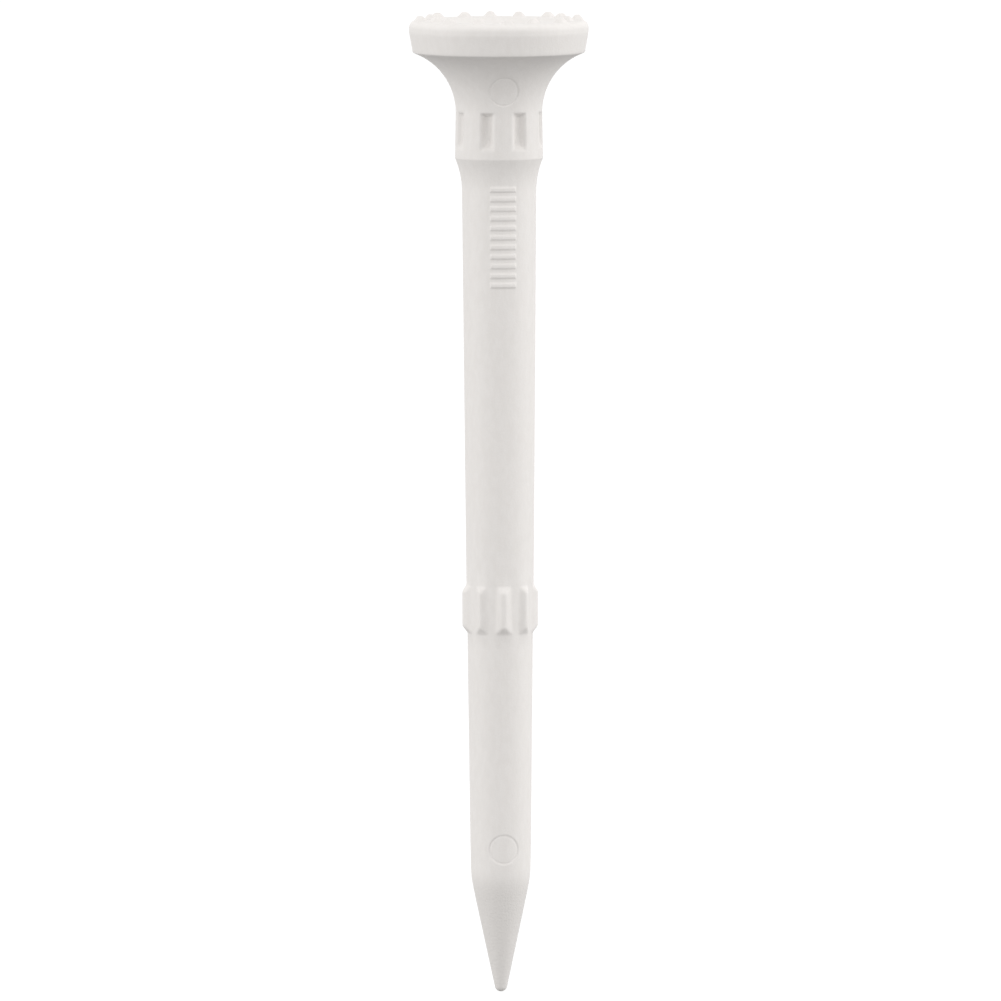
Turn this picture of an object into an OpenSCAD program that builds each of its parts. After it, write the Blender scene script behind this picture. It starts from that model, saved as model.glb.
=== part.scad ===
// Golf tee, moulded in one piece.
// The point is at the origin and the tee stands along +Z.
// The mould opens along Y, so the parting line lies in the X-Z plane
// and the front of the tee faces -Y.

/* [Overall] */
// Length, from the point to the tops of the nubs
tee_length = 82; // [68:1:100]
// Length of the stem below the depth ring, which goes into the ground
ground_length = 30.3; // [20:0.1:38]

/* [Head] */
// Diameter of the rim, just below the crown
head_d = 15; // [12.4:0.1:18]
// Height of the rim's wall
rim_h = 2.68; // [1.8:0.02:3.2]
// Height of the upright band at the top of that wall, over the rounding
rim_band_h = 0.95; // [0.75:0.05:1.4]
// How far the wall draws in from the band to its lower edge
rim_draft = 0.31; // [0.1:0.01:0.4]
// Rounding of the crown's outer edge
crown_round = 0.6; // [0.4:0.02:0.72]
// Radius of the flare that runs from the neck out to the rim
flare_r = 5.3; // [4.4:0.1:7.2]
// Width of the flat land between the dish and the inner ring of nubs
dish_land = 0.35; // [0.1:0.05:1]
// Depth of the dish at its middle
dish_depth = 1.2; // [0.8:0.05:1.8]

/* [Nubs] */
// Number of nubs in each of the two rings
nub_count = 8; // [6:1:10]
// Height of a nub above the crown
nub_h = 0.42; // [0.25:0.01:0.5]
// Diameter of a nub where it meets the crown
nub_d = 1.2; // [0.9:0.05:1.3]
// How far the outer ring of nubs stands in from the rim
nub_inset = 0.9; // [0.85:0.05:1.1]
// How far the inner ring of nubs stands in from the outer ring
nub_ring_step = 0.65; // [0.4:0.05:0.8]

/* [Neck] */
// Length of head and neck, from the crown to the shoulder
head_length = 11.5; // [10.5:0.1:14]
// How far the neck stands proud of the shaft at the shoulder
neck_step = 0.58; // [0.3:0.02:0.9]
// How much the neck draws in from the shoulder up to the flare
neck_draft = 0.07; // [0.02:0.01:0.14]
// Radius of the hollow curve from the shoulder down to the shaft
shoulder_r = 7; // [5:0.5:16]

/* [Neck pockets] */
// Distance from the shoulder up to the pockets
pocket_rise = 0.7; // [0.3:0.05:1]
// How far the pockets run up into the flare
pocket_lap = 0.15; // [0:0.05:0.4]
// Height of the long slope at the lower end of a pocket
pocket_low_end = 0.85; // [0.4:0.05:1.1]
// Height of the short slope at the upper end of a pocket
pocket_top_end = 0.35; // [0.2:0.05:0.6]
// Depth of the four pockets that face the front and the back
pocket_depth = 0.5; // [0.2:0.01:0.54]
// Depth of the four shallower pockets at the sides
side_pocket_depth = 0.28; // [0.15:0.01:0.3]

/* [Shaft] */
// Diameter of the shaft below the shoulder
shaft_top_d = 6.2; // [5.6:0.05:6.8]
// Diameter of the shaft where it meets the depth ring
shaft_low_d = 5.62; // [5.2:0.02:6]
// Diameter of the stem where it leaves the depth ring
stem_top_d = 5.47; // [5.1:0.02:5.7]
// Diameter of the stem at the start of the point
stem_low_d = 5; // [4.4:0.05:5.1]

/* [Depth ring] */
// How far the ribs stand proud of the thicker of shaft and stem
ring_proud = 0.36; // [0.24:0.02:0.6]
// Height of the ring, over its chamfers
ring_h = 4.02; // [3:0.02:6]
// Height of the chamfer at each end of the ring
ring_chamfer = 0.55; // [0.4:0.05:1]

/* [Point] */
// Length of the tapered point
point_length = 9.7; // [7:0.1:14]
// Radius of the ball at the tip
tip_r = 0.5; // [0.3:0.05:0.8]
// Radius that softens the corner between stem and point
point_blend = 12; // [4:0.5:16]

/* [Marks] */
// Number of raised bars down the front of the shaft
bar_count = 11; // [0:1:16]
// Distance from one bar to the next
bar_pitch = 0.8; // [0.6:0.05:1]
// Height of one bar
bar_h = 0.38; // [0.2:0.02:0.5]
// Width of a bar across the shaft
bar_w = 2.1; // [1:0.1:3]
// How far the bars stand proud of the shaft
bar_relief = 0.12; // [0.08:0.01:0.2]
// Distance from the shoulder down to the top bar
bar_drop = 2.3; // [1:0.1:6]
// Diameter of the two round ejector marks on the front
pin_mark_d = 2.35; // [1.6:0.05:2.8]
// Width of the fine groove around an ejector mark
pin_mark_line = 0.1; // [0.06:0.01:0.16]
// Depth of that groove
pin_mark_depth = 0.06; // [0.04:0.01:0.1]
// Height of the lower ejector mark above the start of the point
pin_mark_rise = 2.5; // [1.8:0.1:6]

/* [Hidden] */
$fn = 96;

// Room that a cutter or a strip reaches past what it works on
over = 1;

head_r = head_d / 2;
rim_low_r = head_r - rim_draft;
shaft_top_r = shaft_top_d / 2;
neck_low_r = shaft_top_r + neck_step;
neck_r = neck_low_r - neck_draft;
shaft_low_r = shaft_low_d / 2;
stem_top_r = stem_top_d / 2;
stem_low_r = stem_low_d / 2;
ring_r = max(shaft_low_r, stem_top_r) + ring_proud;

// Heights, from the point upwards
ring_low_z = ground_length;
ring_top_z = ring_low_z + ring_h;
crown_z = tee_length - nub_h;
rim_low_z = crown_z - rim_h;
band_low_z = crown_z - rim_band_h;
neck_low_z = crown_z - head_length;

// The flare is a quarter ring that is tangent to the neck and ends at the rim's lower edge
flare_x = neck_r + flare_r;
flare_z = rim_low_z - sqrt(pow(flare_r, 2) - pow(flare_x - rim_low_r, 2));

// The shoulder's hollow is tangent to the top of the shaft and ends at the shoulder's edge
hollow_x = shaft_top_r + shoulder_r;
hollow_z = neck_low_z - sqrt(pow(shoulder_r, 2) - pow(hollow_x - neck_low_r, 2));

// Each nub is the top of a small ball
nub_r = (pow(nub_d / 2, 2) + pow(nub_h, 2)) / (2 * nub_h);
nub_ring_r = head_r - nub_inset;
nub_inner_r = nub_ring_r - nub_ring_step;
nub_step = 360 / nub_count;

// The dish is part of a sphere, and its edge lies inside the inner ring of nubs
dish_edge_r = nub_inner_r - nub_d / 2 - dish_land;
dish_r = (pow(dish_edge_r, 2) + pow(dish_depth, 2)) / (2 * dish_depth);

// The point's side is a line from the stem that is tangent to the tip's ball
point_angle = atan(stem_low_r / (point_length - tip_r))
    - asin(tip_r / norm([stem_low_r, point_length - tip_r]));
stem_angle = atan((stem_top_r - stem_low_r) / (ring_low_z - point_length));
tip_edge = tip_r * [cos(point_angle), 1 - sin(point_angle)];
blend_run = point_blend * tan((point_angle - stem_angle) / 2);
point_corner = [stem_low_r, point_length];
blend_low = point_corner - blend_run * [sin(point_angle), cos(point_angle)];
blend_top = point_corner + blend_run * [sin(stem_angle), cos(stem_angle)];
blend_centre = blend_top - point_blend * [cos(stem_angle), -sin(stem_angle)];

// Pockets stand in the neck, one between each pair of lands
pocket_low_z = neck_low_z + pocket_rise;
pocket_h = flare_z + pocket_lap - pocket_low_z;

// Angles around the tee, from its front, at which a pocket's slopes start and end:
// surface, floor, floor, surface
pocket_angles = [10.6, 22.5, 27, 31.5];
side_pocket_angles = [59.5, 69.5, 73.5, 77.5];

// The grooves run right down to the body, and their feet lie this far inside it
groove_sink = 0.05;
ring_floor_r = min(shaft_low_r, stem_top_r) - groove_sink;

// Angles around the tee, from its front, at which a groove's flanks start and end:
// rib, foot, foot, rib
groove_angles = [3.5, 17.5, 27, 38];
side_groove_angles = [40.6, 57, 60, 78];

// A point at an angle round from the front and a distance from the axis
function around(angle, r) = [r * sin(angle), -r * cos(angle)];

// The point that lies past b on the line from a, as far again as b is from a
function past(a, b) = a + 2 * (b - a);

// Half outline of the turned shape, with its surface moved out by proud
module outline(proud) {
    out = [proud, 0];
    difference() {
        union() {
            polygon([
                [0, tip_r],
                tip_edge + out,
                blend_low + out,
                blend_top + out,
                [stem_top_r, ring_low_z] + out,
                [shaft_low_r, ring_top_z] + out,
                [shaft_top_r, hollow_z] + out,
                [neck_low_r, hollow_z] + out,
                [neck_low_r, neck_low_z] + out,
                [neck_r, flare_z] + out,
                [rim_low_r, flare_z] + out,
                [rim_low_r, rim_low_z] + out,
                [head_r, band_low_z] + out,
                [head_r, crown_z - crown_round] + out,
                [head_r - crown_round, crown_z] + out,
                [0, crown_z]
            ]);
            trimmed_circle([0, tip_r], tip_r + proud, 0, tip_r);
            trimmed_circle(blend_centre, point_blend + proud, blend_low[1], blend_top[1]);
            translate([head_r - crown_round + proud, crown_z - crown_round])
                circle(crown_round);
        }
        trimmed_circle([hollow_x, hollow_z], shoulder_r - proud, hollow_z, neck_low_z);
        trimmed_circle([flare_x, flare_z], flare_r - proud, flare_z, rim_low_z);
    }
}

// The part of a circle that lies right of the axis and between two heights
module trimmed_circle(centre, r, low, high) {
    intersection() {
        translate(centre)
            circle(r);
        translate([0, low])
            square([head_r + over, high - low]);
    }
}

// The turned shape, before anything is cut into it
module turned_body() {
    rotate_extrude()
        difference() {
            outline(0);
            translate([0, crown_z - dish_depth + dish_r])
                circle(dish_r);
        }
}

// Two staggered rings of nubs that carry the ball
module nubs() {
    for (i = [0 : nub_count - 1]) {
        rotate([0, 0, i * nub_step])
            nub(nub_ring_r);
        rotate([0, 0, (i + 0.5) * nub_step])
            nub(nub_inner_r);
    }
}

module nub(r) {
    translate([0, -r, tee_length - nub_r])
        sphere(nub_r);
}

// One pocket: a plan with sloped flanks, trimmed by a side view with sloped ends
module pocket(angles, depth) {
    floor_r = neck_r - depth;
    near = around(angles[0], neck_r);
    near_floor = around(angles[1], floor_r);
    far_floor = around(angles[2], floor_r);
    far = around(angles[3], neck_r);
    middle = (angles[1] + angles[2]) / 2;
    intersection() {
        translate([0, 0, pocket_low_z])
            linear_extrude(pocket_h)
                polygon([past(near_floor, near), near_floor, far_floor, past(far_floor, far)]);
        rotate([0, 0, middle])
            translate([-neck_r, 0, pocket_low_z])
                rotate([90, 0, 90])
                    linear_extrude(2 * neck_r)
                        pocket_side(floor_r, depth);
    }
}

module pocket_side(floor_r, depth) {
    low = [-floor_r, pocket_low_end];
    top = [-floor_r, pocket_h - pocket_top_end];
    polygon([low, past(low, [-floor_r - depth, 0]), past(top, [-floor_r - depth, pocket_h]), top]);
}

module pockets() {
    for (mx = [0, 1], my = [0, 1])
        mirror([mx, 0, 0])
            mirror([0, my, 0]) {
                pocket(pocket_angles, pocket_depth);
                pocket(side_pocket_angles, side_pocket_depth);
            }
}

// Depth ring: eight ribs, with grooves that the mould can draw out of along Y
module depth_ring() {
    intersection() {
        rotate_extrude()
            polygon([
                [0, ring_low_z],
                [stem_top_r, ring_low_z],
                [ring_r, ring_low_z + ring_chamfer],
                [ring_r, ring_top_z - ring_chamfer],
                [shaft_low_r, ring_top_z],
                [0, ring_top_z]
            ]);
        translate([0, 0, ring_low_z])
            linear_extrude(ring_h)
                difference() {
                    circle(ring_r + over);
                    for (mx = [0, 1], my = [0, 1])
                        mirror([mx, 0])
                            mirror([0, my]) {
                                ring_groove(groove_angles);
                                ring_groove(side_groove_angles);
                            }
                }
    }
}

module ring_groove(angles) {
    near_foot = around(angles[1], ring_floor_r);
    far_foot = around(angles[2], ring_floor_r);
    polygon([
        past(near_foot, around(angles[0], ring_r)),
        near_foot,
        far_foot,
        past(far_foot, around(angles[3], ring_r))
    ]);
}

// A column of plain raised bars down the front of the shaft
module bars() {
    intersection() {
        rotate_extrude()
            outline(bar_relief);
        for (i = [0 : 1 : bar_count - 1])
            translate([-bar_w / 2, -neck_r, neck_low_z - bar_drop - i * bar_pitch - bar_h])
                cube([bar_w, neck_r, bar_h]);
    }
}

// Fine circles that the mould's ejector pins leave
module pin_marks() {
    intersection() {
        rotate_extrude()
            difference() {
                outline(0);
                outline(-pin_mark_depth);
            }
        for (z = [point_length + pin_mark_rise, (flare_z + rim_low_z) / 2 - pin_mark_d / 4])
            translate([0, 0, z])
                rotate([90, 0, 0])
                    difference() {
                        cylinder(h = head_r, d = pin_mark_d);
                        cylinder(h = head_r, d = pin_mark_d - 2 * pin_mark_line);
                    }
    }
}

module tee() {
    color([0.86, 0.85, 0.84])
        difference() {
            union() {
                turned_body();
                depth_ring();
                nubs();
                bars();
            }
            pockets();
            pin_marks();
        }
}

tee();
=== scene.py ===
import math

import bmesh
import bpy
from mathutils import Matrix, Vector


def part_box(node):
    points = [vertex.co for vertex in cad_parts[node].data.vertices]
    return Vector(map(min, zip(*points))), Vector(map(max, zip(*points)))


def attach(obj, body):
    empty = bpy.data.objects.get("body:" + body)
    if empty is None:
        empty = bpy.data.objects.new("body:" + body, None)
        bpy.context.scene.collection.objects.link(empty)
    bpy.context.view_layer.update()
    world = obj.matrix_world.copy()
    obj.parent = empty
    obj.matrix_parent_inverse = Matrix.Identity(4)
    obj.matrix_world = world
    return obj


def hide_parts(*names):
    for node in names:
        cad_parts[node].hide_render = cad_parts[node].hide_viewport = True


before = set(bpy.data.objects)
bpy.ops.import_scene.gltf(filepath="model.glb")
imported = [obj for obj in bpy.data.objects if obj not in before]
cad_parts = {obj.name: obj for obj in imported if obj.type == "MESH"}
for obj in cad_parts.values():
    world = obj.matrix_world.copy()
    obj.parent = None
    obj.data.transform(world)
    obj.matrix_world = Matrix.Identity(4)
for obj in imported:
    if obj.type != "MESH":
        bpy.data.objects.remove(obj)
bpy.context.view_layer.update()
mm = 0.001

# What a user would change on the tee, in millimetres and degrees.
tee = {
    "segments": 192,  # columns round the tee, a multiple of 4 so that two lie on the parting line
    "nubHeight": 0.42,
    "rimHeight": 2.68,
    "rimBand": 0.95,
    "rimDraft": 0.31,
    "crownRound": 0.6,
    "flareRadius": 5.3,
    "dishDiameter": 10.0,
    "dishDepth": 1.2,
    "headLength": 11.5,
    "neckRadius": 3.61,
    "neckDraft": 0.07,
    "shoulderRadius": 7.0,
    "shaftTopRadius": 3.1,
    "shaftLowRadius": 2.81,
    "stemTopRadius": 2.735,
    "stemLowRadius": 2.5,
    "pointLength": 9.7,
    "pointBlend": 12.0,
    "pointEase": 0.9,  # fits the soft corner at the point to that radius
    "tipRadius": 0.5,
    "edgePasses": 3,
}

nubs = {
    "count": 8,  # in each of the two staggered rings
    "width": 1.25,
    "inset": 0.9,
    "ringStep": 0.65,
    "flatTop": 0.22,  # share of the width that stays level
    "squareness": 0.55,  # 0 is a round nub, 1 a four-sided one
}

pockets = {
    "rise": 0.7,
    "lap": 0.15,  # how far they run up into the flare
    "lowEnd": 0.85,
    "topEnd": 0.35,
    # slope starts, floor starts, floor ends, slope ends, depth
    "front": (10.6, 22.5, 27.0, 31.5, 0.5),
    "side": (59.5, 69.5, 73.5, 77.5, 0.28),
}

depthRing = {
    "lowZ": 30.3,
    "height": 4.02,
    "radius": 3.17,
    "footRadius": 2.685,
    "chamfer": 0.55,
    # turn from the front or the back, and whether the plan is out on a rib there or in at a foot
    "plan": (
        (0.0, True), (3.5, True), (17.5, False), (27.0, False), (38.0, True),
        (40.6, True), (57.0, False), (60.0, False), (78.0, True), (90.0, True),
    ),
    "softPasses": 5,
}

marks = {
    "barCount": 11,
    "barPitch": 0.8,
    "barHeight": 0.38,
    "barWidth": 2.1,
    "barRelief": 0.1,
    "barDrop": 2.3,
    "edge": 0.1,  # how wide the slope at a mark's edge is
    "pinRadius": 1.175,
    "pinGroove": 0.07,
    "pinSink": 0.03,
    "pinRise": 2.5,
    "seamHeight": 0.022,
    "seamTurn": 89.9,  # degrees from the front, past which a column stands on the parting line
}

meshing = {
    # how far the closer rows reach past each detail
    "belowPoint": 1.1,
    "abovePoint": 1.0,
    "pinMargin": 0.2,
    "ringMargin": 0.1,
    "shoulderMargin": 0.05,
    "flareEnd": 0.4,
    "rimFoot": 0.15,
    # how far the finer mesh and the eased edges reach past theirs
    "barDetail": 0.15,
    "pinDetail": 0.25,
    "crownDetail": 0.05,
    "softMargin": 0.3,
    "softFactor": 0.5,
    # rows across the crown and the dish, and degrees round the tip's ball and a rounded edge
    "crownSteps": 20,
    "dishSteps": 20,
    "ballTurns": range(10, 70, 12),
    "quarterTurns": range(10, 91, 10),
    "merge": 1e-4,
    "onAxis": 1e-6,
}


def ramp(value, low, high):
    # 0 below low, 1 above high and a soft slope between
    t = min(max((value - low) / (high - low), 0.0), 1.0)
    return t * t * (3 - 2 * t)


def slope(value, low, high):
    # the same with a straight slope
    return min(max((value - low) / (high - low), 0.0), 1.0)


def around(degrees, radius):
    # plan position at an angle round from the front, for a quarter of the tee
    return Vector((radius * math.sin(math.radians(degrees)), radius * math.cos(math.radians(degrees))))


def rayToLine(degrees, start, end):
    # distance from the axis to the line through two plan points, along a ray at this angle
    ray = around(degrees, 1.0)
    run = end - start
    return (start.x * run.y - start.y * run.x) / (ray.x * run.y - ray.y * run.x)


def teeLevels(spec):
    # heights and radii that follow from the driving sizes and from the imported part's box
    low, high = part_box("tee")
    levels = dict(spec)
    levels["topZ"] = (high.z - low.z) / mm
    levels["headRadius"] = (high.x - low.x) / 2 / mm
    levels["crownZ"] = levels["topZ"] - spec["nubHeight"]
    levels["rimLowZ"] = levels["crownZ"] - spec["rimHeight"]
    levels["bandLowZ"] = levels["crownZ"] - spec["rimBand"]
    levels["wallTopZ"] = levels["crownZ"] - spec["crownRound"]
    levels["crownFlat"] = levels["headRadius"] - spec["crownRound"]
    levels["rimLowRadius"] = levels["headRadius"] - spec["rimDraft"]
    levels["neckLowZ"] = levels["crownZ"] - spec["headLength"]
    levels["neckLowRadius"] = spec["neckRadius"] + spec["neckDraft"]

    levels["flareX"] = spec["neckRadius"] + spec["flareRadius"]
    reach = levels["flareX"] - levels["rimLowRadius"]
    levels["flareZ"] = levels["rimLowZ"] - math.sqrt(spec["flareRadius"] ** 2 - reach ** 2)

    levels["hollowX"] = spec["shaftTopRadius"] + spec["shoulderRadius"]
    reach = levels["hollowX"] - levels["neckLowRadius"]
    levels["hollowZ"] = levels["neckLowZ"] - math.sqrt(spec["shoulderRadius"] ** 2 - reach ** 2)

    half = spec["dishDiameter"] / 2
    levels["dishRadius"] = (half ** 2 + spec["dishDepth"] ** 2) / (2 * spec["dishDepth"])

    ringTopZ = depthRing["lowZ"] + depthRing["height"]
    levels["ringTopZ"] = ringTopZ
    widening = spec["stemTopRadius"] - spec["stemLowRadius"]
    levels["stemTurn"] = widening / (depthRing["lowZ"] - spec["pointLength"])
    widening = spec["shaftTopRadius"] - spec["shaftLowRadius"]
    levels["shaftTurn"] = widening / (levels["hollowZ"] - ringTopZ)

    drop = spec["pointLength"] - spec["tipRadius"]
    away = math.hypot(spec["stemLowRadius"], drop)
    levels["pointAngle"] = math.atan(spec["stemLowRadius"] / drop) - math.asin(spec["tipRadius"] / away)
    return levels


size = teeLevels(tee)


def bodyRadius(z):
    # radius of the plain turned shape at a height, from the tip's ball up to the rim's wall
    tip = size["tipRadius"]
    angle = size["pointAngle"]
    if z < tip * (1 - math.sin(angle)):
        return math.sqrt(max(tip ** 2 - (tip - z) ** 2, 0.0))
    cone = tip * math.cos(angle) + (z - tip * (1 - math.sin(angle))) * math.tan(angle)
    stem = size["stemLowRadius"] + (z - size["pointLength"]) * size["stemTurn"]
    if z < depthRing["lowZ"]:
        # the corner between point and stem is eased by a soft minimum of the two lines
        ease = size["pointBlend"] * math.tan(angle / 2) ** 2 * size["pointEase"]
        gap = (cone - stem) / ease
        return stem + ease * (gap - math.sqrt(gap * gap + 1)) / 2
    if z < size["hollowZ"]:
        lift = ramp(z, depthRing["lowZ"], size["ringTopZ"])
        shaft = size["shaftLowRadius"] + (z - size["ringTopZ"]) * size["shaftTurn"]
        return stem + (shaft - stem) * lift
    if z < size["neckLowZ"]:
        rise = z - size["hollowZ"]
        return size["hollowX"] - math.sqrt(size["shoulderRadius"] ** 2 - rise ** 2)
    if z < size["flareZ"]:
        return size["neckLowRadius"] - size["neckDraft"] * slope(z, size["neckLowZ"], size["flareZ"])
    if z < size["rimLowZ"]:
        rise = z - size["flareZ"]
        return size["flareX"] - math.sqrt(size["flareRadius"] ** 2 - rise ** 2)
    if z < size["wallTopZ"]:
        return size["rimLowRadius"] + size["rimDraft"] * slope(z, size["rimLowZ"], size["bandLowZ"])
    rise = min(z - size["wallTopZ"], size["crownRound"])
    return size["crownFlat"] + math.sqrt(size["crownRound"] ** 2 - rise ** 2)


def ringPlan(turn):
    # distance from the axis to the depth ring's outline, 0 to 90 degrees round from front or back
    reach = {True: depthRing["radius"], False: depthRing["footRadius"]}
    for (near, nearOut), (far, farOut) in zip(depthRing["plan"], depthRing["plan"][1:]):
        if turn <= far and nearOut == farOut:
            return reach[nearOut]
        if turn <= far:
            return rayToLine(turn, around(near, reach[nearOut]), around(far, reach[farOut]))
    return depthRing["radius"]


def ringRadius(turn, z, plain):
    # the ring's surface: its plan, cut off by the chamfer at each end
    low, high = depthRing["lowZ"], size["ringTopZ"]
    if not low < z < high:
        return plain
    rise = min(z - low, high - z) / depthRing["chamfer"]
    chamfered = plain + (depthRing["radius"] - plain) * min(rise, 1.0)
    return max(plain, min(ringPlan(turn), chamfered))


def pocketDepth(turn, z):
    # how deep the neck's pockets are here
    low = size["neckLowZ"] + pockets["rise"]
    high = size["flareZ"] + pockets["lap"]
    if not low < z < high:
        return 0.0
    upright = min(slope(z, low, low + pockets["lowEnd"]), 1 - slope(z, high - pockets["topEnd"], high))
    deepest = 0.0
    for near, nearFloor, farFloor, far, depth in (pockets["front"], pockets["side"]):
        across = min(slope(turn, near, nearFloor), 1 - slope(turn, farFloor, far))
        deepest = max(deepest, depth * ramp(min(upright, across), 0.0, 1.0))
    return deepest


def barRelief(x, z):
    # plain raised bars, level with each other, down the front of the shaft
    top = size["neckLowZ"] - marks["barDrop"]
    down = top - z
    index = math.floor((down + marks["edge"]) / marks["barPitch"])
    if not 0 <= index < marks["barCount"]:
        return 0.0
    inside = min(down - index * marks["barPitch"], index * marks["barPitch"] + marks["barHeight"] - down)
    sideways = marks["barWidth"] / 2 - abs(x)
    return marks["barRelief"] * slope(min(inside, sideways), -marks["edge"] / 2, marks["edge"] / 2)


def pinHeights():
    # middles of the two ejector marks, on the stem and on the flare
    upper = (size["flareZ"] + size["rimLowZ"]) / 2 - marks["pinRadius"] / 2
    return (size["pointLength"] + marks["pinRise"], upper)


def pinDepth(x, z):
    # a sunk disc with a fine groove round it
    for middle in pinHeights():
        away = math.hypot(x, z - middle) - marks["pinRadius"]
        if away < marks["edge"]:
            groove = 1 - slope(abs(away), 0.0, marks["edge"])
            return marks["pinGroove"] * groove + marks["pinSink"] * (1 - slope(away, -marks["edge"], 0.0))
    return 0.0


def nubHeight(x, y):
    # height of the nearest nub above the crown
    step = math.tau / nubs["count"]
    outer = size["headRadius"] - nubs["inset"]
    turn = math.atan2(x, -y)
    radius = math.hypot(x, y)
    best = 0.0
    for shift, ring in ((0.0, outer), (0.5, outer - nubs["ringStep"])):
        off = turn / step - shift
        off = (off - round(off)) * step
        across = abs(radius * math.sin(off)) / (nubs["width"] / 2)
        along = abs(radius * math.cos(off) - ring) / (nubs["width"] / 2)
        sharp = nubs["squareness"]
        away = sharp * max(across, along) + (1 - sharp) * math.hypot(across, along)
        best = max(best, 1 - slope(away, nubs["flatTop"], 1.0))
    return size["nubHeight"] * ramp(best, 0.0, 1.0)


def shapedPoint(point):
    # where a point of the plain turned shape lies once every moulded detail is on it
    x, y, z = point
    radius = math.hypot(x, y)
    onTop = z > size["wallTopZ"] or (z > size["rimLowZ"] and radius < size["crownFlat"])
    if onTop or radius < meshing["onAxis"]:
        return Vector((x, y, z + nubHeight(x, y)))
    turn = abs(math.degrees(math.atan2(x, -y)))
    turn = min(turn, 180 - turn)
    plain = bodyRadius(z)
    wanted = ringRadius(turn, z, plain) - pocketDepth(turn, z)
    if y < 0:
        across = x / radius * plain
        wanted += barRelief(across, z) - pinDepth(across, z)
    if turn > marks["seamTurn"]:
        wanted += marks["seamHeight"] * (1 - slope(z, size["flareZ"], size["rimLowZ"]))
    return Vector((x / radius * wanted, y / radius * wanted, z))


def outlineHeights():
    # heights of the rings of vertices, closer together where the surface carries detail
    pinLow, pinHigh = pinHeights()
    reach = marks["pinRadius"] + meshing["pinMargin"]
    tip = size["tipRadius"]
    # where each run of rows ends, and how many rows it has
    stops = [
        (tip, 6),
        (size["pointLength"] - meshing["belowPoint"], 10),
        (size["pointLength"] + meshing["abovePoint"], 14),
        (pinLow - reach, 1),
        (pinLow + reach, 18),
        (depthRing["lowZ"] - meshing["ringMargin"], 14),
        (size["ringTopZ"] + meshing["ringMargin"], 52),
        (size["neckLowZ"] - marks["barDrop"] - marks["barCount"] * marks["barPitch"], 16),
        (size["hollowZ"], 60),
        (size["neckLowZ"] - meshing["shoulderMargin"], 24),
        (size["neckLowZ"] + meshing["shoulderMargin"], 2),
        (size["flareZ"], 30),
        (size["rimLowZ"] - meshing["flareEnd"], 46),
        (size["rimLowZ"], 8),
        (size["rimLowZ"] + meshing["rimFoot"], 3),
        (size["bandLowZ"], 8),
        (size["wallTopZ"], 4),
    ]
    heights = [tip * (1 - math.cos(math.radians(turn))) for turn in meshing["ballTurns"]]
    low = heights[-1]
    for high, steps in stops:
        if high > low:
            heights += [low + (high - low) * (step + 1) / steps for step in range(steps)]
            low = high
    return heights


def drawOutline(bm):
    # half outline from the tip round to the middle of the dish
    points = [(0.0, 0.0)]
    points += [(bodyRadius(z), z) for z in outlineHeights()]
    rounding, flat = size["crownRound"], size["crownFlat"]
    for turn in meshing["quarterTurns"]:
        rise = math.radians(turn)
        points.append((flat + rounding * math.cos(rise), size["wallTopZ"] + rounding * math.sin(rise)))
    lip = size["dishDiameter"] / 2
    steps = meshing["crownSteps"]
    points += [(flat + (lip - flat) * step / steps, size["crownZ"]) for step in range(1, steps)]
    dish = size["dishRadius"]
    for step in range(meshing["dishSteps"] + 1):
        r = lip * (1 - step / meshing["dishSteps"])
        points.append((r, size["crownZ"] - size["dishDepth"] + dish - math.sqrt(dish ** 2 - r ** 2)))
    verts = [bm.verts.new((r, 0.0, z)) for r, z in points]
    edges = [bm.edges.new(pair) for pair in zip(verts, verts[1:])]
    return verts + edges


def needsDetail(centre):
    # true on the bars, the ejector marks and round the crown's nubs
    x, y, z = centre
    if z > size["crownZ"] - meshing["crownDetail"]:
        return math.hypot(x, y) > size["headRadius"] - nubs["inset"] - nubs["ringStep"] - nubs["width"]
    if y > 0:
        return False
    top = size["neckLowZ"] - marks["barDrop"]
    bottom = top - marks["barCount"] * marks["barPitch"]
    if bottom < z < top + marks["edge"]:
        return abs(x) < marks["barWidth"] / 2 + meshing["barDetail"]
    reach = marks["pinRadius"] + meshing["pinDetail"]
    return any(math.hypot(x, z - middle) < reach for middle in pinHeights())


def refine(bm):
    # splits the edges of the faces that carry fine detail
    faces = [face for face in bm.faces if needsDetail(face.calc_center_median())]
    edges = list({edge for face in faces for edge in face.edges})
    bmesh.ops.subdivide_edges(bm, edges=edges, cuts=1, use_grid_fill=True)


def soften(bm, low, high, passes):
    # eases the edges between two heights, without moving anything up or down
    low -= meshing["softMargin"]
    high += meshing["softMargin"]
    verts = [vert for vert in bm.verts if low < vert.co.z < high]
    for _ in range(passes):
        bmesh.ops.smooth_vert(
            bm, verts=verts, factor=meshing["softFactor"],
            use_axis_x=True, use_axis_y=True, use_axis_z=False,
        )


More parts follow.
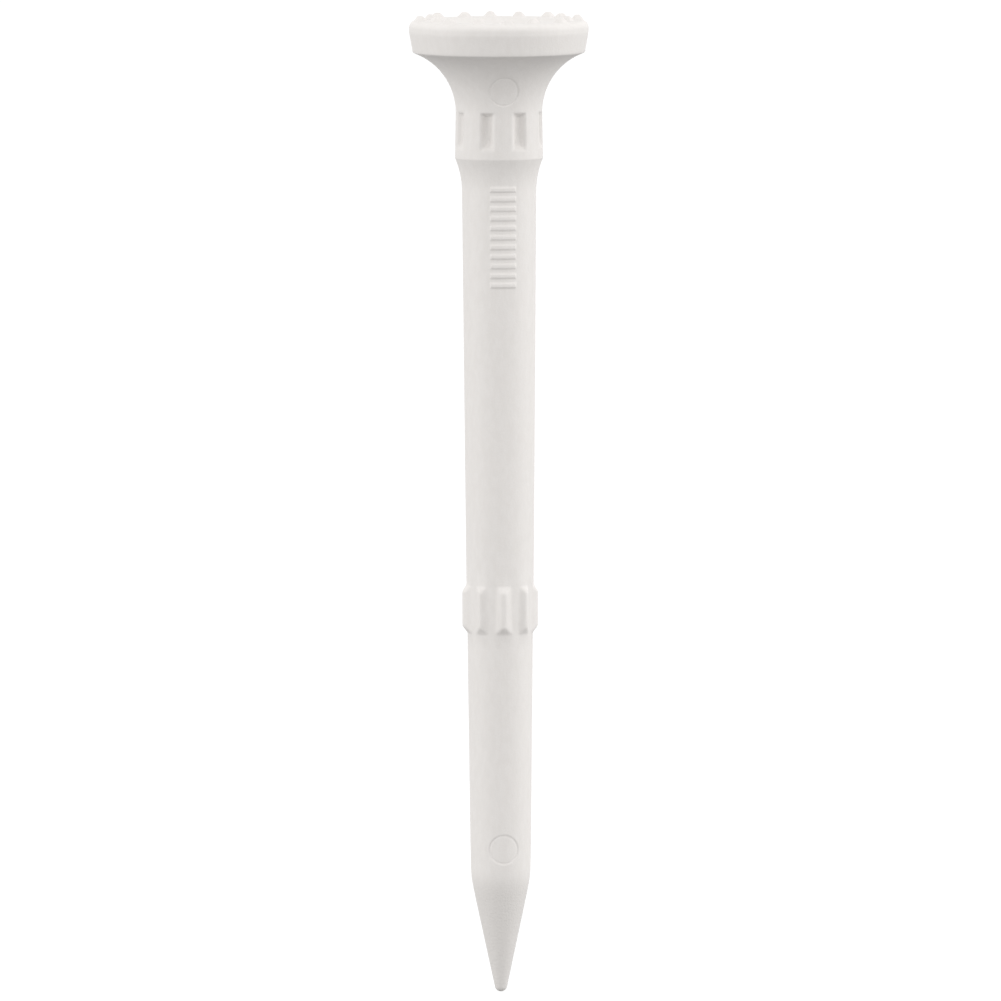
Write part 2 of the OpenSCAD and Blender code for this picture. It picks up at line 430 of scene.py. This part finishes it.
def buildTee():
    bm = bmesh.new()
    outline = drawOutline(bm)
    bmesh.ops.spin(
        bm, geom=outline, cent=(0, 0, 0), axis=(0, 0, 1), angle=math.tau,
        steps=tee["segments"], use_merge=True,
    )
    bmesh.ops.remove_doubles(bm, verts=bm.verts, dist=meshing["merge"])
    bmesh.ops.recalc_face_normals(bm, faces=bm.faces)
    refine(bm)
    for vert in bm.verts:
        vert.co = shapedPoint(vert.co)

    soften(bm, depthRing["lowZ"], size["ringTopZ"], depthRing["softPasses"])
    soften(bm, size["rimLowZ"], size["rimLowZ"], tee["edgePasses"])
    soften(bm, size["neckLowZ"], size["neckLowZ"], tee["edgePasses"])
    bmesh.ops.scale(bm, vec=(mm, mm, mm), verts=bm.verts)
    mesh = bpy.data.meshes.new("tee_moulding")
    bm.to_mesh(mesh)
    bm.free()
    for polygon in mesh.polygons:
        polygon.use_smooth = True
    piece = bpy.data.objects.new("tee_moulding", mesh)
    bpy.context.scene.collection.objects.link(piece)
    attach(piece, "root")
    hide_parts("tee")
    print("tee modelled:", len(mesh.vertices), "vertices")
    return piece


class Wire:
    # an output socket, so that shader maths can be written as plain expressions
    def __init__(self, tree, socket=None):
        self.tree = tree
        self.socket = socket

    def node(self, kind, settings=None, inputs=None, output=0):
        made = self.tree.nodes.new(kind)
        for name, value in (settings or {}).items():
            if name == "stops":
                while len(made.color_ramp.elements) < len(value):
                    made.color_ramp.elements.new(1.0)
                for element, (place, colour) in zip(made.color_ramp.elements, value):
                    element.position = place
                    element.color = colour
            else:
                setattr(made, name, value)
        for name, value in (inputs or {}).items():
            if isinstance(value, Wire):
                self.tree.links.new(value.socket, made.inputs[name])
            else:
                made.inputs[name].default_value = value
        return Wire(self.tree, made.outputs[output] if len(made.outputs) else None)

    def maths(self, operation, first, second):
        return self.node("ShaderNodeMath", {"operation": operation}, {0: first, 1: second})

    def __add__(self, other):
        return self.maths("ADD", self, other)

    def __radd__(self, other):
        return self.maths("ADD", other, self)

    def __sub__(self, other):
        return self.maths("SUBTRACT", self, other)

    def __rsub__(self, other):
        return self.maths("SUBTRACT", other, self)

    def __mul__(self, other):
        return self.maths("MULTIPLY", self, other)

    def __rmul__(self, other):
        return self.maths("MULTIPLY", other, self)


plastic = {
    "colour": (0.80, 0.772, 0.748),
    "deepColour": (0.775, 0.746, 0.720),
    "roughness": 0.5,
    "roughnessSpread": 0.1,
    "ior": 1.47,
    "grainSize": 0.16,  # millimetres across one grain of the mould's texture
    "grainDepth": 0.010,
    "grainDetail": 2.0,
    "waveSize": 1.3,  # slow unevenness left by shrinkage
    "waveDepth": 0.012,
    "waveDetail": 1.0,
    "waveStrength": 0.6,
    "fibreSize": 0.45,
    "fibreStretch": 0.45,
    "fibreDetail": 3.0,
    "fibreShare": 0.7,  # of the mottling, the rest follows the grain
    "mottleLow": 0.38,
    "mottleHigh": 0.62,
    "noiseRoughness": 0.55,
    "pointShadeColour": (0.725, 0.698, 0.674),  # painted shade: the point is coloured darker for the shade on its downward-facing cone; its grain is also coarser
    "pointShadeShare": 0.8,
    "pointGrain": 3.5,  # how much deeper the grain is there
    "pointFull": 8.0,  # height below which the point's painted shade and its coarser grain are complete
    "pointStart": 10.4,
}


def mouldedPlastic():
    material = bpy.data.materials.new("moulded_wood_filled_plastic")
    material.use_nodes = True
    tree = material.node_tree
    tree.nodes.clear()
    wire = Wire(tree)
    place = wire.node("ShaderNodeTexCoord", output=3)

    def noise(millimetres, detail, stretch=(1.0, 1.0, 1.0)):
        scaled = wire.node("ShaderNodeMapping", inputs={"Vector": place, "Scale": stretch})
        return wire.node(
            "ShaderNodeTexNoise", {"noise_dimensions": "3D"},
            {
                "Vector": scaled, "Scale": 1 / (millimetres * mm), "Detail": detail,
                "Roughness": plastic["noiseRoughness"],
            },
        )

    grain = noise(plastic["grainSize"], plastic["grainDetail"])
    wave = noise(plastic["waveSize"], plastic["waveDetail"])
    fibres = noise(plastic["fibreSize"], plastic["fibreDetail"], (1.0, 1.0, plastic["fibreStretch"]))

    shade = wire.node(
        "ShaderNodeValToRGB",
        {"stops": [(plastic["mottleLow"], (0, 0, 0, 1)), (plastic["mottleHigh"], (1, 1, 1, 1))]},
        {"Fac": fibres * plastic["fibreShare"] + grain * (1 - plastic["fibreShare"])},
    )
    colour = wire.node(
        "ShaderNodeMix", {"data_type": "RGBA"},
        {0: shade, 6: (*plastic["deepColour"], 1), 7: (*plastic["colour"], 1)}, output=2,
    )
    height = wire.node("ShaderNodeSeparateXYZ", inputs={"Vector": place}, output=2)
    # painted shade: this mask darkens the point's colour for the shade it falls in, and also deepens its
    # grain
    point = wire.node(
        "ShaderNodeMapRange", {"interpolation_type": "SMOOTHSTEP"},
        {
            "Value": height, "From Min": plastic["pointFull"] * mm, "From Max": plastic["pointStart"] * mm,
            "To Min": 1.0, "To Max": 0.0,
        },
    )
    # mixes the painted shade into the point's colour
    colour = wire.node(
        "ShaderNodeMix", {"data_type": "RGBA"},
        {0: point * plastic["pointShadeShare"], 6: colour, 7: (*plastic["pointShadeColour"], 1)}, output=2,
    )
    roughness = plastic["roughness"] + (grain - 0.5) * plastic["roughnessSpread"]
    relief = grain * (1 + point * plastic["pointGrain"])
    broad = wire.node(
        "ShaderNodeBump",
        inputs={"Height": wave, "Strength": plastic["waveStrength"], "Distance": plastic["waveDepth"] * mm},
    )
    fine = wire.node(
        "ShaderNodeBump",
        inputs={"Height": relief, "Strength": 1.0, "Distance": plastic["grainDepth"] * mm, "Normal": broad},
    )
    surface = wire.node(
        "ShaderNodeBsdfPrincipled",
        inputs={"Base Color": colour, "Roughness": roughness, "Normal": fine, "IOR": plastic["ior"]},
    )
    wire.node("ShaderNodeOutputMaterial", inputs={"Surface": surface})
    return material


camera = {
    "distance": 1200.0,
    "turn": -6.2,
    "elevation": 5.0,
    "pictureHeight": 83.78,  # millimetres that the picture takes in at the tee
    "aimX": 0.05,
    "aimZ": 41.35,
    "roll": -0.135,
    "sensorWidth": 36.0,
    "nearest": 0.05,  # metres
    "farthest": 20.0,
}


def placeCamera():
    data = bpy.data.cameras.new("camera")
    made = bpy.data.objects.new("camera", data)
    bpy.context.scene.collection.objects.link(made)
    turn = math.radians(camera["turn"])
    lift = math.radians(camera["elevation"])
    back = Vector((math.sin(turn) * math.cos(lift), -math.cos(turn) * math.cos(lift), math.sin(lift)))
    right = Vector((math.cos(turn), math.sin(turn), 0))
    aim = (right * camera["aimX"] + Vector((0, 0, camera["aimZ"]))) * mm
    made.location = aim + back * camera["distance"] * mm
    facing = (-back).to_track_quat("-Z", "Y").to_matrix().to_4x4()
    facing = facing @ Matrix.Rotation(math.radians(camera["roll"]), 4, "Z")
    made.rotation_euler = facing.to_euler()
    data.sensor_width = camera["sensorWidth"]
    data.lens = data.sensor_width * camera["distance"] / camera["pictureHeight"]
    data.clip_start = camera["nearest"]
    data.clip_end = camera["farthest"]
    bpy.context.scene.camera = made


studio = {
    "skyLow": 0.14,  # brightness straight down, level and straight up
    "skyHorizon": 1.03,
    "skyHigh": 0.92,
    "sweepRadius": 2.3,  # metres
    "sweepHeight": 1.6,
    "sweepBend": 0.5,
    "sweepSegments": 64,
    "sweepMerge": 1e-5,
    "floorGlow": 0.86,
    "floorColour": 0.2,
    "floorRoughness": 0.9,
}

softboxes = {
    # place in metres, size in metres, watts
    "right": ((0.55, -0.08, 0.16), (0.4, 0.4), 0.86),
    "left": ((-0.55, -0.05, 0.16), (0.4, 0.4), 0.62),
    "top": ((0.1, -0.2, 1.2), (0.9, 0.9), 1.6),
}


def lightStudio():
    aim = Vector((0, 0, camera["aimZ"] * mm))
    for name, (place, extent, watts) in softboxes.items():
        data = bpy.data.lights.new(name + "_softbox", "AREA")
        data.shape = "RECTANGLE"
        data.size, data.size_y = extent
        data.energy = watts
        made = bpy.data.objects.new(name + "_softbox", data)
        made.location = place
        made.rotation_euler = (aim - Vector(place)).to_track_quat("-Z", "Y").to_euler()
        bpy.context.scene.collection.objects.link(made)

    world = bpy.data.worlds.new("studio_air")
    world.use_nodes = True
    tree = world.node_tree
    tree.nodes.clear()
    wire = Wire(tree)
    direction = wire.node("ShaderNodeTexCoord", output=0)
    height = wire.node("ShaderNodeSeparateXYZ", inputs={"Vector": direction}, output=2)
    stops = [
        (0.0, (studio["skyLow"],) * 3 + (1,)),
        (0.5, (studio["skyHorizon"],) * 3 + (1,)),
        (1.0, (studio["skyHigh"],) * 3 + (1,)),
    ]
    shade = wire.node("ShaderNodeValToRGB", {"stops": stops}, {"Fac": height * 0.5 + 0.5})
    air = wire.node("ShaderNodeBackground", inputs={"Color": shade, "Strength": 1.0})
    wire.node("ShaderNodeOutputWorld", inputs={"Surface": air})
    bpy.context.scene.world = world
    bpy.context.scene.view_settings.view_transform = "Standard"
    bpy.context.scene.view_settings.look = "None"


def layFloor():
    # a pale floor that sweeps up into a pale wall all round
    bm = bmesh.new()
    radius, height, bend = studio["sweepRadius"], studio["sweepHeight"], studio["sweepBend"]
    points = [(0.0, 0.0), (radius - bend, 0.0)]
    for turn in meshing["quarterTurns"]:
        rise = math.radians(turn)
        points.append((radius - bend + bend * math.sin(rise), bend - bend * math.cos(rise)))
    points.append((radius, height))
    verts = [bm.verts.new((r, 0.0, z)) for r, z in points]
    edges = [bm.edges.new(pair) for pair in zip(verts, verts[1:])]
    bmesh.ops.spin(
        bm, geom=verts + edges, cent=(0, 0, 0), axis=(0, 0, 1), angle=math.tau,
        steps=studio["sweepSegments"], use_merge=True,
    )
    bmesh.ops.remove_doubles(bm, verts=bm.verts, dist=studio["sweepMerge"])
    mesh = bpy.data.meshes.new("studio_floor")
    bm.to_mesh(mesh)
    bm.free()
    floor = bpy.data.objects.new("studio_floor", mesh)
    bpy.context.scene.collection.objects.link(floor)
    floor.visible_diffuse = False
    floor.visible_glossy = False
    floor.visible_shadow = False

    material = bpy.data.materials.new("pale_floor")
    material.use_nodes = True
    tree = material.node_tree
    tree.nodes.clear()
    wire = Wire(tree)
    shade = (studio["floorColour"],) * 3 + (1,)
    surface = wire.node(
        "ShaderNodeBsdfPrincipled",
        inputs={
            "Base Color": shade, "Roughness": studio["floorRoughness"], "Specular IOR Level": 0.0,
            "Emission Color": (1, 1, 1, 1), "Emission Strength": studio["floorGlow"],
        },
    )
    wire.node("ShaderNodeOutputMaterial", inputs={"Surface": surface})
    mesh.materials.append(material)


placeCamera()
print("camera placed")
piece = buildTee()
piece.data.materials.append(mouldedPlastic())
print("plastic mixed")
lightStudio()
layFloor()
print("studio lit")
